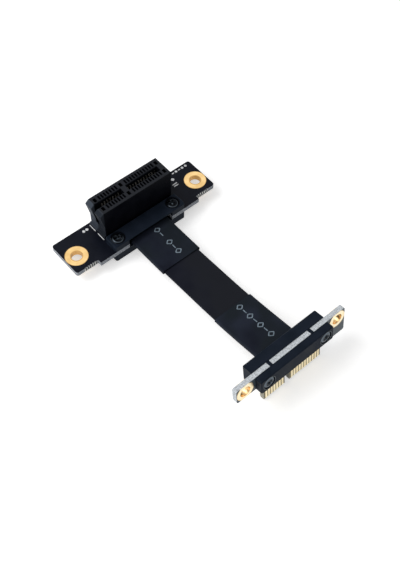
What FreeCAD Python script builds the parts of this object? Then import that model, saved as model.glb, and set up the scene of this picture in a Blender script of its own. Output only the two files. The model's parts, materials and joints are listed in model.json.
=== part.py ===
import FreeCAD, Part
import math
import os

# A one-lane expansion-slot extension: a socket board, a flat cable and an edge-card board.
# Millimetres. X runs along both boards, the cable runs towards -Y, Z is up from the table.
# The origin is the middle of the face that the socket end rests on.

# Standard edge connector
board_t = 1.6
contact_pitch = 1.0
short_count = 7
long_count = 11
short_tongue = 7.65
long_tongue = 11.65
key_gap = 1.9

# Flat cable
core_w = 12.95
core_t = 0.8
core_ease = 0.25
core_drop = 4.3
core_stop = 0.6
card_core_gap = 0.9
sleeve_wall = 0.25
sleeve_gap = 0.2
sleeve_ease = 0.35
sleeve_inset = 0.8
socket_sleeve_loose = 0.275
socket_sleeve_l = 14.9
card_sleeve_loose = 0.01
card_sleeve_l = 16.6
card_sleeve_clear = 1.94
cable_bend = 11.9
cable_slope = 3.4
arc_share = 0.45
wire_count = 8
wire_pitch = 1.5
wire_w = 0.5
wire_t = 0.12
wire_rise = 0.45
wire_foot = 1.0

# Cable clamps: two covers and two screws on each board
cover_side = 5.05
cover_d = 5.2
cover_t = 2.3
lower_cover_t = 3.1
rear_cover_t = 3.4
cover_wall = 0.7
cover_roof = 0.5
cover_corner = 0.4
cover_chamfer = 0.25
front_wall = 1.2
hollow_h = 1.3
notch_clear = 1.2
window_clear = 0.3
screw_inset = 2.85
screw_d = 2.0
screw_clear = 0.2
screw_bite = 2.0
head_d = 3.8
head_h = 1.1
crown_in = 0.55
crown_h = 0.4
head_clear = 0.3
head_sink = 1.1

# Socket board
socket_d = 12.7
nose_side = 5.55
nose_out = 1.35
cable_notch_d = 3.2
socket_corner_r = 0.8
socket_hole_out = 9.55
socket_hole_back = 5.15
socket_ring_d = 7.0
socket_ring_edge = 0.1
bite_d = 0.6
bite_pitch = 0.85
bite_count = 5
bite_start = 1.0

# Plated mounting holes of both boards
hole_d = 3.4
plating_t = 0.2
pad_t = 0.06

# Slot
slot_l = 25.0
slot_w = 7.3
slot_h = 11.25
slot_x = 0.35
slot_gap = 1.03
groove_w = 1.8
groove_depth = 7.9
groove_lead = 0.3
card_clear = 0.12
cavity_w = 0.6
outer_wall = 0.9
web_h = 1.2
slit_w = 0.5
slit_l = 1.45
pocket_l = 1.0
pocket_depth = 2.0
pocket_inset = 1.2
lip_out = 1.2
lip_drop = 1.05
lip_taper = 5.5
foot_out = 0.5
foot_h = 1.0
peg_d = 1.7
peg_h = 1.3
peg_clear = 0.1

# Spring contacts of the slot and their solder
spring_t = 0.2
spring_w = 0.42
spring_gap = 1.04
spring_top_gap = 0.3
spring_flare = 0.6
spring_flare_h = 1.15
spring_lean_h = 2.6
spring_foot_h = 0.6
tail_row_in = 1.55
tail_row_step = 0.9
tail_hole_d = 0.8
tail_out = 1.3
solder_d = 1.2
solder_h = 0.9
solder_tip_d = 0.6

# Edge-card board, leaning forwards with its tips on the table
card_h = 13.2
card_span = 61.86
card_lean = 9.5
left_ear_h = 5.15
right_ear_h = 9.2
right_ear_w = 5.55
shoulder_h = 5.0
key_depth = 7.7
card_corner_r = 0.5
tip_bevel = 0.25
tip_bevel_h = 0.4
edge_notch_x = 7.5
edge_notch_w = 1.1
edge_notch_d = 1.2
edge_notch_clear = 0.05
card_ring_d = 5.8
card_ring_gap = 0.75
card_hole_edge = 2.95
card_hole_drop = 2.5
finger_w = 0.7
finger_t = 0.05
finger_tip_gap = 0.1
finger_top_gap = 0.1
front_cover_drop = 0.15
rear_cover_rise = 0.25

# Small round things that repeat are prisms with this many sides
post_sides = 6

# Levels and places that follow from the sizes above
card_w = short_tongue + key_gap + long_tongue
key_x = -card_w / 2 + short_tongue + key_gap / 2
notch_half = core_w / 2 + sleeve_wall + socket_sleeve_loose + notch_clear
cover_half = notch_half + cover_side
screw_x = cover_half - screw_inset
screw_l = cover_t - head_sink + board_t + screw_bite
nose_half = cover_half + nose_side
socket_hole_x = cover_half + socket_hole_out
socket_half = socket_hole_x + socket_ring_d / 2 + socket_ring_edge
board_z = lower_cover_t
board_top = board_z + board_t
nose_y = -cover_d / 2
ear_y = nose_y + nose_out
notch_y = nose_y + cable_notch_d
socket_hole_y = ear_y + socket_hole_back
slot_y = cover_d / 2 + slot_gap + slot_w / 2
cavity_out = slot_w / 2 - outer_wall
slit_in = cavity_out - slit_l
groove_floor = slot_h - groove_depth
sleeve_below = core_t / 2 + sleeve_wall
sleeve_above = core_t / 2 + sleeve_gap + sleeve_wall
cable_z = board_z + sleeve_below
core_start = notch_y - core_stop
card_hole_x = cover_half + card_ring_gap + card_ring_d / 2
card_half = card_hole_x + card_hole_edge
cover_low = front_cover_drop + cover_d
card_screw_z = -front_cover_drop - cover_d / 2
rear_face = board_t + rear_cover_t
lean = math.radians(card_lean)
card_top = card_h * math.cos(lean) + (board_t - tip_bevel) * math.sin(lean)
card_place = FreeCAD.Placement(
    FreeCAD.Vector(0, -card_span, card_top),
    FreeCAD.Rotation(FreeCAD.Vector(1, 0, 0), -card_lean),
)


def box(x0, x1, y0, y1, z0, z1):
    return Part.makeBox(x1 - x0, y1 - y0, z1 - z0, FreeCAD.Vector(x0, y0, z0))


def rod(d, x, y, z0, z1):
    return Part.makeCylinder(d / 2, z1 - z0, FreeCAD.Vector(x, y, z0))


def loop(points):
    return Part.makePolygon(points + points[:1])


def corner_points(d, x, y, z):
    turns = [2 * math.pi * (i + 0.5) / post_sides for i in range(post_sides)]
    return [FreeCAD.Vector(x + d / 2 * math.cos(t), y + d / 2 * math.sin(t), z) for t in turns]


def post(d, x, y, z0, z1):
    return Part.Face(loop(corner_points(d, x, y, z0))).extrude(FreeCAD.Vector(0, 0, z1 - z0))


def tapered_post(d0, d1, x, y, z0, z1):
    low, high = corner_points(d0, x, y, z0), corner_points(d1, x, y, z1)
    loops = [low, high] + [[low[i - 1], low[i], high[i], high[i - 1]] for i in range(post_sides)]
    return Part.Solid(Part.Shell([Part.Face(loop(points)) for points in loops]))


def along_y(shape):
    # Lays an upright shape down, so that +Z becomes +Y and +Y becomes -Z.
    turned = shape.copy()
    turned.rotate(FreeCAD.Vector(0, 0, 0), FreeCAD.Vector(1, 0, 0), -90)
    return turned


def cut_all(shape, tools):
    return shape.cut(Part.makeCompound(tools))


def ends(edge):
    return edge.Vertexes[0].Point, edge.Vertexes[-1].Point


def contact_places():
    # Middles of the contacts on both tongues, measured from the middle of the card edge.
    short_mid = -card_w / 2 + short_tongue / 2
    long_mid = card_w / 2 - long_tongue / 2
    places = []
    for middle, count in ((short_mid, short_count), (long_mid, long_count)):
        places += [middle + (i - (count - 1) / 2) * contact_pitch for i in range(count)]
    return places


def tail_places():
    # Each contact's tail: x, side of the groove, and distance from the groove's middle,
    # nearer and farther in turn.
    places = []
    for i, x in enumerate(contact_places()):
        for side in (-1, 1):
            places.append((x, side, tail_row_in + tail_row_step * (1 - i % 2)))
    return places


def peg_places():
    return [key_x, slot_l / 2 - pocket_inset]


def strip(points, thickness, width, x):
    # A flat strip bent along points (y, z): mitred offsets of the line, carried along X.
    runs = []
    for (y0, z0), (y1, z1) in zip(points, points[1:]):
        length = math.hypot(y1 - y0, z1 - z0)
        runs.append(((y1 - y0) / length, (z1 - z0) / length))
    left, right = [], []
    for i, (y, z) in enumerate(points):
        before = runs[max(i - 1, 0)]
        after = runs[min(i, len(runs) - 1)]
        ny, nz = -before[1] - after[1], before[0] + after[0]
        reach = thickness / 2 / (nz * before[0] - ny * before[1])
        left.append(FreeCAD.Vector(x - width / 2, y + reach * ny, z + reach * nz))
        right.append(FreeCAD.Vector(x - width / 2, y - reach * ny, z - reach * nz))
    return Part.Face(loop(left + right[::-1])).extrude(FreeCAD.Vector(width, 0, 0))


def make_plating(ring_d):
    # A plated hole about Z: a barrel through the board and a ring on both faces.
    hole, barrel, ring = hole_d / 2, hole_d / 2 + plating_t, ring_d / 2
    half = [(hole, -pad_t), (ring, -pad_t), (ring, 0), (barrel, 0)]
    half += [(barrel, board_t), (ring, board_t), (ring, board_t + pad_t), (hole, board_t + pad_t)]
    profile = Part.Face(loop([FreeCAD.Vector(r, 0, z) for r, z in half]))
    return profile.revolve(FreeCAD.Vector(0, 0, 0), FreeCAD.Vector(0, 0, 1), 360)


# Socket board: ears, a nose under the covers, a cable notch, break-off bites and drilled holes
def make_socket_board():
    back = ear_y + socket_d
    right = [(notch_half, notch_y), (notch_half, nose_y), (nose_half, nose_y), (nose_half, ear_y)]
    right += [(socket_half, ear_y), (socket_half, back)]
    outline = right + [(-x, y) for x, y in right[::-1]]
    board = Part.Face(loop([FreeCAD.Vector(x, y, board_z) for x, y in outline]))
    board = board.extrude(FreeCAD.Vector(0, 0, board_t))
    corners = []
    for edge in board.Edges:
        a, b = ends(edge)
        if abs(a.z - b.z) > board_t / 2 and abs(abs(a.x) - socket_half) < 1e-6:
            corners.append(edge)
    board = board.makeFillet(socket_corner_r, corners)
    top = board_top + 1
    drills = []
    for side in (-1, 1):
        drills.append(rod(hole_d + 2 * plating_t, side * socket_hole_x, socket_hole_y, 0, top))
        drills.append(post(screw_d + screw_clear, side * screw_x, 0, 0, top))
        for i in range(bite_count):
            drills.append(post(bite_d, side * (nose_half + bite_start + i * bite_pitch), ear_y, 0, top))
    for x, side, reach in tail_places():
        drills.append(post(tail_hole_d, slot_x + x, slot_y + side * reach, 0, top))
    for x in peg_places():
        drills.append(post(peg_d + peg_clear, slot_x + x, slot_y, 0, top))
    return cut_all(board, drills)


def make_socket_plating(side):
    plating = make_plating(socket_ring_d)
    plating.translate(FreeCAD.Vector(side * socket_hole_x, socket_hole_y, board_z))
    return plating


# Slot: one moulding with a keyed groove, open at the left end, and a cavity for each contact
def make_slot_moulding():
    half_l, half_w = slot_l / 2, slot_w / 2
    body = box(-half_l, half_l, -half_w, half_w, 0, slot_h)
    lip = [(-half_l, slot_h), (-half_l - lip_out, slot_h - lip_drop)]
    lip.append((-half_l, slot_h - lip_drop - lip_taper))
    wedge = Part.Face(loop([FreeCAD.Vector(x, -half_w, z) for x, z in lip]))
    body = body.fuse(wedge.extrude(FreeCAD.Vector(0, slot_w, 0)))
    body = body.fuse(box(-half_l - foot_out, -half_l, -half_w, half_w, 0, foot_h))
    for x in peg_places():
        body = body.fuse(post(peg_d, x, 0, -peg_h, 0))

    cuts = []
    near, top, web = groove_w / 2, slot_h + 1, slot_h - web_h
    key_half = key_gap / 2 - card_clear
    groove_end = card_w / 2 + card_clear
    for x0, x1 in ((-half_l - lip_out - 1, key_x - key_half), (key_x + key_half, groove_end)):
        cuts.append(box(x0, x1, -near, near, groove_floor, top))
        wide, low = near + groove_lead, slot_h - groove_lead
        lead = [(-wide, slot_h), (wide, slot_h), (near, low), (-near, low)]
        mouth = Part.Face(loop([FreeCAD.Vector(x0, y, z) for y, z in lead]))
        cuts.append(mouth.extrude(FreeCAD.Vector(x1 - x0, 0, 0)))
    for x in contact_places():
        for side in (-1, 1):
            y0, y1 = sorted((side * near, side * cavity_out))
            cuts.append(box(x - cavity_w / 2, x + cavity_w / 2, y0, y1, -1, web))
            y0, y1 = sorted((side * slit_in, side * cavity_out))
            cuts.append(box(x - slit_w / 2, x + slit_w / 2, y0, y1, web, top))
    for x in (-half_l + pocket_inset, key_x, half_l - pocket_inset):
        for side in (-1, 1):
            y0, y1 = sorted((side * slit_in, side * cavity_out))
            cuts.append(box(x - pocket_l / 2, x + pocket_l / 2, y0, y1, slot_h - pocket_depth, top))
    return cut_all(body, cuts).removeSplitter()


def slot_block(x0, x1, y0, y1, z0, z1):
    # One plain block of the moulding. The blocks meet face to face around the groove.
    block = slot_moulding.common(box(x0, x1, y0, y1, z0, z1))
    block.translate(FreeCAD.Vector(slot_x, slot_y, board_top))
    return block


def make_slot_contacts(row):
    # Each spring stands on its tail, lies against the outer wall of its cavity,
    # leans in to touch the card and flares out under the web.
    body = cavity_out - spring_t / 2
    touch = (spring_gap + spring_t) / 2
    end_z = slot_h - web_h - spring_top_gap
    touch_z = end_z - spring_flare_h
    jog_z = spring_foot_h + cavity_out - tail_row_in
    springs = []
    for x, side, reach in tail_places():
        if side == row:
            line = [(reach, -board_t - tail_out), (reach, spring_foot_h), (body, jog_z)]
            line += [(body, touch_z - spring_lean_h), (touch, touch_z), (touch + spring_flare, end_z)]
            springs.append(strip([(side * y, z) for y, z in line], spring_t, spring_w, x))
    contacts = Part.makeCompound(springs)
    contacts.translate(FreeCAD.Vector(slot_x, slot_y, board_top))
    return contacts


def make_solder_joints():
    # Solder closes each drilled hole from below and runs down the tail in a cone.
    joints = []
    for x, side, reach in tail_places():
        px, py = slot_x + x, slot_y + side * reach
        cone = tapered_post(solder_tip_d, solder_d, px, py, board_z - solder_h, board_z)
        tail = box(px - spring_w / 2, px + spring_w / 2, py - spring_t / 2, py + spring_t / 2, 0, board_top)
        joints.append(cone.cut(tail))
    return Part.makeCompound(joints)


# Covers: moulded blocks, hollow for the cable's ends, held together by two screws
def make_cover_block(thickness):
    # Lies on z = 0 about its own middle; the outer face is at z = thickness.
    block = box(-cover_half, cover_half, -cover_d / 2, cover_d / 2, 0, thickness)
    corners = [e for e in block.Edges if abs(ends(e)[0].z - ends(e)[1].z) > thickness / 2]
    block = block.makeChamfer(cover_corner, corners)
    rim = [e for e in block.Edges if min(p.z for p in ends(e)) > thickness - 1e-6]
    return block.makeChamfer(cover_chamfer, rim)


def make_head_cover():
    # The cover under the screw heads, the same at both ends. One long side of its hollow is open.
    back = cover_d / 2 - cover_wall
    cuts = [box(-notch_half, notch_half, -cover_d, back, -1, cover_t - cover_roof)]
    for x in (-screw_x, screw_x):
        cuts.append(post(screw_d + screw_clear, x, 0, -1, cover_t))
        cuts.append(rod(head_d + head_clear, x, 0, cover_t - head_sink, cover_t + 1))
    return cut_all(make_cover_block(cover_t), cuts)


def make_socket_top_cover():
    cover = make_head_cover()
    cover.translate(FreeCAD.Vector(0, 0, board_top))
    return cover


def make_socket_bottom_cover():
    # Turned over, with its outer face on the table. Its front wall carries the cable.
    front, back = nose_y + front_wall, cover_d / 2 - cover_wall
    cuts = [box(-notch_half, notch_half, front, back, -1, hollow_h)]
    for x in (-screw_x, screw_x):
        cuts.append(post(screw_d, x, 0, -1, screw_bite))
    cover = cut_all(make_cover_block(lower_cover_t), cuts)
    cover.rotate(FreeCAD.Vector(0, 0, 0), FreeCAD.Vector(0, 1, 0), 180)
    cover.translate(FreeCAD.Vector(0, 0, board_z))
    return cover


def make_screw():
    # Pan head on a plain shank. The head seats on z = 0 and the shank points down.
    half = [(0, 0), (head_d / 2, 0), (head_d / 2, head_h - crown_h)]
    half += [(head_d / 2 - crown_in, head_h), (0, head_h)]
    profile = Part.Face(loop([FreeCAD.Vector(r, 0, z) for r, z in half]))
    head = profile.revolve(FreeCAD.Vector(0, 0, 0), FreeCAD.Vector(0, 0, 1), 360)
    return head.fuse(post(screw_d, 0, 0, -screw_l, 0))


def make_socket_screw(side):
    screw = make_screw()
    screw.translate(FreeCAD.Vector(side * screw_x, 0, board_top + cover_t - head_sink))
    return screw


# Edge-card board, modelled upright with its top edge on z = 0 and its front face on y = 0
def card_profile():
    tongue = card_w / 2
    key_low, key_high, key_top = key_x - key_gap / 2, key_x + key_gap / 2, key_depth - card_h
    points = [(-card_half, 0)]
    for x in (-edge_notch_x, edge_notch_x):
        low, high = x - edge_notch_w / 2, x + edge_notch_w / 2
        points += [(low, 0), (low, -edge_notch_d), (high, -edge_notch_d), (high, 0)]
    points += [(card_half, 0), (card_half, -right_ear_h), (card_half - right_ear_w, -right_ear_h)]
    points += [(card_half - right_ear_w, -shoulder_h), (tongue, -shoulder_h), (tongue, -card_h)]
    points += [(key_high, -card_h), (key_high, key_top), (key_low, key_top), (key_low, -card_h)]
    points += [(-tongue, -card_h), (-tongue, -left_ear_h), (-card_half, -left_ear_h)]
    return Part.Face(loop([FreeCAD.Vector(x, 0, z) for x, z in points]))


def make_card_board():
    board = card_profile().extrude(FreeCAD.Vector(0, board_t, 0))
    corners = []
    for edge in board.Edges:
        a, b = ends(edge)
        if abs(a.y - b.y) > board_t / 2 and abs(abs(a.x) - card_half) < 1e-6:
            corners.append(edge)
    board = board.makeFillet(card_corner_r, corners)
    cuts = []
    for side in (-1, 1):
        hole = rod(hole_d + 2 * plating_t, side * card_hole_x, card_hole_drop, -1, board_t + 1)
        cuts.append(along_y(hole))
        cuts.append(along_y(post(screw_d + screw_clear, side * screw_x, -card_screw_z, -1, board_t + 1)))
    for y, inwards in ((0, tip_bevel), (board_t, -tip_bevel)):
        bevel = [(y, tip_bevel_h - card_h), (y + inwards, -card_h), (y, -card_h)]
        wedge = Part.Face(loop([FreeCAD.Vector(-card_w, v, z) for v, z in bevel]))
        cuts.append(wedge.extrude(FreeCAD.Vector(2 * card_w, 0, 0)))
    return cut_all(board, cuts)


def make_card_plating(side):
    # The rings are wider than the narrow ears, so they are trimmed to the board's outline.
    outline = card_profile().extrude(FreeCAD.Vector(0, board_t + 2 * pad_t, 0))
    outline.translate(FreeCAD.Vector(0, -pad_t, 0))
    plating = along_y(make_plating(card_ring_d))
    plating.translate(FreeCAD.Vector(side * card_hole_x, 0, -card_hole_drop))
    return plating.common(outline)


def make_fingers(y):
    low = -card_h + tip_bevel_h + finger_tip_gap
    high = -cover_low - finger_top_gap
    half = finger_w / 2
    return Part.makeCompound([box(x - half, x + half, y, y + finger_t, low, high) for x in contact_places()])


def make_card_front_cover():
    cover = make_head_cover()
    cover.rotate(FreeCAD.Vector(0, 0, 0), FreeCAD.Vector(1, 0, 0), 90)
    cover.translate(FreeCAD.Vector(0, 0, card_screw_z))
    return cover


def make_card_rear_cover():
    # Stands a little above the board, with ribs in the board's edge notches.
    # The cable comes in through a window that is open at the bottom.
    block = box(-cover_half, cover_half, board_t, rear_face, -cover_low, rear_cover_rise)
    rim = [e for e in block.Edges if min(p.y for p in ends(e)) > rear_face - 1e-6]
    block = block.makeChamfer(cover_chamfer, rim)
    low = -cover_low - 1
    window = core_w / 2 + window_clear
    window_top = -core_drop + core_t / 2 + window_clear
    hollow_top = -edge_notch_d - cover_wall
    cuts = [box(-notch_half, notch_half, 0, rear_face - front_wall, low, hollow_top)]
    cuts.append(box(-window, window, 0, rear_face + 1, low, window_top))
    for x in (-screw_x, screw_x):
        cuts.append(along_y(post(screw_d, x, -card_screw_z, 0, board_t + screw_bite)))
    block = cut_all(block, cuts)
    wide = edge_notch_w / 2 - edge_notch_clear
    for x in (-edge_notch_x, edge_notch_x):
        block = block.fuse(box(x - wide, x + wide, 0, board_t, edge_notch_clear - edge_notch_d, 0))
    return block.removeSplitter()


def make_card_screw(side):
    screw = make_screw()
    screw.rotate(FreeCAD.Vector(0, 0, 0), FreeCAD.Vector(1, 0, 0), 90)
    screw.translate(FreeCAD.Vector(side * screw_x, head_sink - cover_t, card_screw_z))
    return screw


def on_card(shape):
    placed = shape.copy()
    placed.Placement = card_place.multiply(placed.Placement)
    return placed


# Flat cable: straight runs joined by arcs in the YZ plane, carried across X
def cable_route():
    # Leaves the socket level, rises at a steady slope and meets the card square to its face.
    enter = card_place.multVec(FreeCAD.Vector(0, board_t + card_core_gap, -core_drop))
    bend_y = nose_y - cable_bend
    rise = math.tan(math.radians(cable_slope))
    square = math.tan(lean)
    turn_y = (enter.z - cable_z + square * enter.y - rise * bend_y) / (square - rise)
    turn = (turn_y, cable_z + rise * (bend_y - turn_y))
    return [(core_start, cable_z), (bend_y, cable_z), turn, (enter.y, enter.z)]


def run_between(a, b):
    # Direction, length and upward normal of a run, which goes towards -Y.
    length = math.hypot(b[0] - a[0], b[1] - a[1])
    y, z = (b[0] - a[0]) / length, (b[1] - a[1]) / length
    return (y, z), length, (z, -y)


def cable_pieces():
    # Each piece of the route is a list of points with their upward normals:
    # two for a straight run, three for an arc. The arcs take most of the shorter run beside them.
    points = cable_route()
    here = (points[0], run_between(points[0], points[1])[2])
    pieces = []
    for a, b, c in zip(points, points[1:], points[2:]):
        u, u_length, u_up = run_between(a, b)
        v, v_length, v_up = run_between(b, c)
        turn = math.acos(u[0] * v[0] + u[1] * v[1])
        reach = arc_share * min(u_length, v_length)
        radius = reach / math.tan(turn / 2)
        print("cable arc radius", round(radius, 1))
        enter = ((b[0] - reach * u[0], b[1] - reach * u[1]), u_up)
        leave = ((b[0] + reach * v[0], b[1] + reach * v[1]), v_up)
        size = math.hypot(u_up[0] + v_up[0], u_up[1] + v_up[1])
        up = ((u_up[0] + v_up[0]) / size, (u_up[1] + v_up[1]) / size)
        bow = math.copysign(radius / math.cos(turn / 2) - radius, u[1] * v[0] - u[0] * v[1])
        middle = ((b[0] + bow * up[0], b[1] + bow * up[1]), up)
        pieces += [[here, enter], [enter, middle, leave]]
        here = leave
    return pieces + [[here, (points[-1], run_between(points[-2], points[-1])[2])]]


def cable_edges(pieces, lift):
    edges = []
    for piece in pieces:
        points = [FreeCAD.Vector(0, p[0] + lift * up[0], p[1] + lift * up[1]) for p, up in piece]
        curve = Part.Arc(*points) if len(points) == 3 else Part.LineSegment(*points)
        edges.append(curve.toShape())
    return edges


def make_band(pieces, width, below, above):
    # A flat band from below to above the route.
    upper, lower = cable_edges(pieces, above), cable_edges(pieces, -below)
    starts = [edges[0].Vertexes[0].Point for edges in (upper, lower)]
    stops = [edges[-1].Vertexes[-1].Point for edges in (upper, lower)]
    caps = [Part.LineSegment(*starts).toShape(), Part.LineSegment(*stops).toShape()]
    profile = Part.Face(Part.Wire(Part.__sortEdges__(upper + lower + caps)))
    profile.translate(FreeCAD.Vector(-width / 2, 0, 0))
    return profile.extrude(FreeCAD.Vector(width, 0, 0))


def ease_long_edges(band, size):
    # The long edges lie on the sides of the band and are longer than it is thick.
    thick = min(edge.Length for edge in band.Edges)
    rims = [e for e in band.Edges if abs(ends(e)[0].x - ends(e)[1].x) < 1e-6 and e.Length > 1.5 * thick]
    return band.makeChamfer(size, rims)


def make_core(pieces):
    return ease_long_edges(make_band(pieces, core_w, core_t / 2, core_t / 2), core_ease)


def make_sleeve(pieces, loose, y_low, y_high):
    inner_w = core_w + 2 * loose
    outer = make_band(pieces, inner_w + 2 * sleeve_wall, sleeve_below, sleeve_above)
    inner = make_band(pieces, inner_w, core_t / 2, core_t / 2 + sleeve_gap)
    length = box(-inner_w, inner_w, y_low, y_high, 0, board_top + slot_h)
    return ease_long_edges(outer, sleeve_ease).common(length).cut(inner)


def wire_places():
    return [(i - (wire_count - 1) / 2) * wire_pitch for i in range(wire_count)]


def make_socket_wires():
    # Bare wire ends, soldered in turn to the upper and the lower face of the board.
    wires = []
    for i, x in enumerate(wire_places()):
        z = board_top + wire_t / 2 if i % 2 else board_z - wire_t / 2
        line = [(core_start, cable_z), (core_start + wire_rise, z), (notch_y + wire_foot, z)]
        wires.append(strip(line, wire_t, wire_w, x))
    return Part.makeCompound(wires)


def make_card_wires():
    # Bare wire ends, turned up along the rear face of the edge-card board.
    y, z = board_t + wire_t / 2, wire_rise - core_drop
    line = [(board_t + card_core_gap, -core_drop), (y, z), (y, z + wire_foot)]
    return Part.makeCompound([strip(line, wire_t, wire_w, x) for x in wire_places()])


slot_moulding = make_slot_moulding()
beyond = 2 * slot_l
groove_side = groove_w / 2
cable = cable_pieces()
core = make_core(cable)
rear_y = card_place.multVec(FreeCAD.Vector(0, rear_face, -core_drop)).y
socket_sleeve_y = nose_y + sleeve_inset
card_sleeve_y = rear_y + card_sleeve_clear
nodes = {
    "socket_board": make_socket_board(),
    "socket_hole_plating_left": make_socket_plating(-1),
    "socket_hole_plating_right": make_socket_plating(1),
    "slot_base": slot_block(-beyond, beyond, -beyond, beyond, -beyond, groove_floor),
    "slot_front_wall": slot_block(-beyond, beyond, -beyond, -groove_side, groove_floor, beyond),
    "slot_rear_wall": slot_block(-beyond, beyond, groove_side, beyond, groove_floor, beyond),
    "slot_key": slot_block(-beyond, key_x + key_gap, -groove_side, groove_side, groove_floor, beyond),
    "slot_end_wall": slot_block(key_x + key_gap, beyond, -groove_side, groove_side, groove_floor, beyond),
    "slot_contacts_front": make_slot_contacts(-1),
    "slot_contacts_rear": make_slot_contacts(1),
    "slot_solder_joints": make_solder_joints(),
    "socket_top_cover": make_socket_top_cover(),
    "socket_bottom_cover": make_socket_bottom_cover(),
    "socket_screw_left": make_socket_screw(-1),
    "socket_screw_right": make_socket_screw(1),
    "cable_core": core,
    "cable_sleeve_socket_end": make_sleeve(
        cable, socket_sleeve_loose, socket_sleeve_y - socket_sleeve_l, socket_sleeve_y),
    "cable_sleeve_card_end": make_sleeve(
        cable, card_sleeve_loose, card_sleeve_y, card_sleeve_y + card_sleeve_l),
    "cable_wires_socket_end": make_socket_wires().cut(core),
    "cable_wires_card_end": on_card(make_card_wires()).cut(core),
    "card_board": on_card(make_card_board()),
    "card_hole_plating_left": on_card(make_card_plating(-1)),
    "card_hole_plating_right": on_card(make_card_plating(1)),
    "card_fingers_front": on_card(make_fingers(-finger_t)),
    "card_fingers_rear": on_card(make_fingers(board_t)),
    "card_front_cover": on_card(make_card_front_cover()),
    "card_rear_cover": on_card(make_card_rear_cover()),
    "card_screw_left": on_card(make_card_screw(-1)),
    "card_screw_right": on_card(make_card_screw(1)),
}

os.makedirs("parts", exist_ok=True)
for name, shape in nodes.items():
    shape.exportStep("parts/" + name + ".step")
    print(name, len(shape.Solids), round(shape.Volume, 2), shape.isValid())
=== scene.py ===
import json
import bmesh
import bpy
import numpy as np
from mathutils import Matrix, Vector


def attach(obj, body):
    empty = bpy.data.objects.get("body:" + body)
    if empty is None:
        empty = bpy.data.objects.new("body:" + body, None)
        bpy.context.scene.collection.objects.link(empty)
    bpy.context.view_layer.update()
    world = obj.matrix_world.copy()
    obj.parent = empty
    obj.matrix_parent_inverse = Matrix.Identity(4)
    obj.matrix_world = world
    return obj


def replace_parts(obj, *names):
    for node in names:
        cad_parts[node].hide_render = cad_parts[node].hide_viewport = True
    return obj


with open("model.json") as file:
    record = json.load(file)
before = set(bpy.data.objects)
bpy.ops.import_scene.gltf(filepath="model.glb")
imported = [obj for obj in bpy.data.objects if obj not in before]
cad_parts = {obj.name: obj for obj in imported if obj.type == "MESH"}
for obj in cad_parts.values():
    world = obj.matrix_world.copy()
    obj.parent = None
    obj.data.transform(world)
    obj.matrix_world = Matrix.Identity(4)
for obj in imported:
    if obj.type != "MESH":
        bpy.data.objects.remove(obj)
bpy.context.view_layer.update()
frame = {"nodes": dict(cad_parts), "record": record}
nodes = frame["nodes"]
scene = bpy.context.scene
mm = 0.001
print("frame loaded:", len(nodes), "nodes")

# the boards, in millimetres: thickness of both, underside of the socket board, lean of the card board in
# degrees and the middle of its front top edge
boardPlace = {"thick": 1.6, "under": 3.1, "lean": 9.5, "cardTop": (0.0, -61.86, 13.2418)}
leanAngle = np.radians(boardPlace["lean"])
cardTop = np.array(boardPlace["cardTop"]) * mm
cardOut = np.array((0.0, -np.cos(leanAngle), np.sin(leanAngle)))
cardDown = np.array((0.0, -np.sin(leanAngle), -np.cos(leanAngle)))


def onCard(along, out, down):
    # a point of the card: along its edge, out from its front face and down from its top, in millimetres
    place = np.stack([along, np.zeros_like(along), np.zeros_like(along)], -1)
    return cardTop + (place + out[..., None] * cardOut + down[..., None] * cardDown) * mm


def endOf(name):
    # the end of the cable that a node belongs to: socket_screw_left gives socket
    return name.split("_")[0]


# shader helpers
def addNode(tree, kind, **values):
    node = tree.nodes.new(kind)
    for name, value in values.items():
        setattr(node, name, value)
    return node


def setInputs(node, **values):
    for name, value in values.items():
        node.inputs[name.replace("_", " ")].default_value = value
    return node


def feed(tree, socket, value):
    # a colour or a number is set on the socket, another node's output is linked to it
    if isinstance(value, tuple):
        socket.default_value = (*value, 1.0)
    elif isinstance(value, (int, float)):
        socket.default_value = value
    else:
        tree.links.new(value, socket)


def newGroup(name, inputs, outputs):
    tree = bpy.data.node_groups.new(name, "ShaderNodeTree")
    for way, sockets in (("INPUT", inputs), ("OUTPUT", outputs)):
        for label, kind in sockets.items():
            tree.interface.new_socket(name=label, in_out=way, socket_type="NodeSocket" + kind)
    return tree, tree.nodes.new("NodeGroupInput"), tree.nodes.new("NodeGroupOutput")


def mathNode(tree, operation, a, b=0.0, clamp=False):
    node = addNode(tree, "ShaderNodeMath", operation=operation, use_clamp=clamp)
    feed(tree, node.inputs[0], a)
    feed(tree, node.inputs[1], b)
    return node.outputs[0]


def mixColour(tree, factor, a, b):
    # the Mix node keeps its colours at inputs 6 and 7 and gives the mixed one at output 2
    node = addNode(tree, "ShaderNodeMix", data_type="RGBA")
    for index, value in ((0, factor), (6, a), (7, b)):
        feed(tree, node.inputs[index], value)
    return node.outputs[2]


def ramp(tree, value, places, tones):
    # the first tone up to the first place, the second from the second place, blended between
    node = addNode(tree, "ShaderNodeValToRGB")
    for element, place, tone in zip(node.color_ramp.elements, places, tones):
        element.position = place
        element.color = (*tone, 1.0)
    tree.links.new(value, node.inputs[0])
    return node.outputs[0]


def spread(tree, value, low, high, toLow=0.0, toHigh=1.0):
    # low to high becomes toLow to toHigh, held at both ends
    node = addNode(tree, "ShaderNodeMapRange")
    setInputs(node, From_Min=low, From_Max=high, To_Min=toLow, To_Max=toHigh)
    tree.links.new(value, node.inputs["Value"])
    return node.outputs[0]


def sharpMask(tree, beyond, sharp):
    # 0 before an edge and 1 past it: the distance beyond the edge times the sharpness, held from 0 to 1
    return mathNode(tree, "MULTIPLY", beyond, sharp, True)


def distanceFrom(tree, value, level):
    # |value - level|
    return mathNode(tree, "ABSOLUTE", mathNode(tree, "SUBTRACT", value, level))


def splitPlace(tree, place):
    split = addNode(tree, "ShaderNodeSeparateXYZ")
    tree.links.new(place, split.inputs[0])
    return list(split.outputs)


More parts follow.
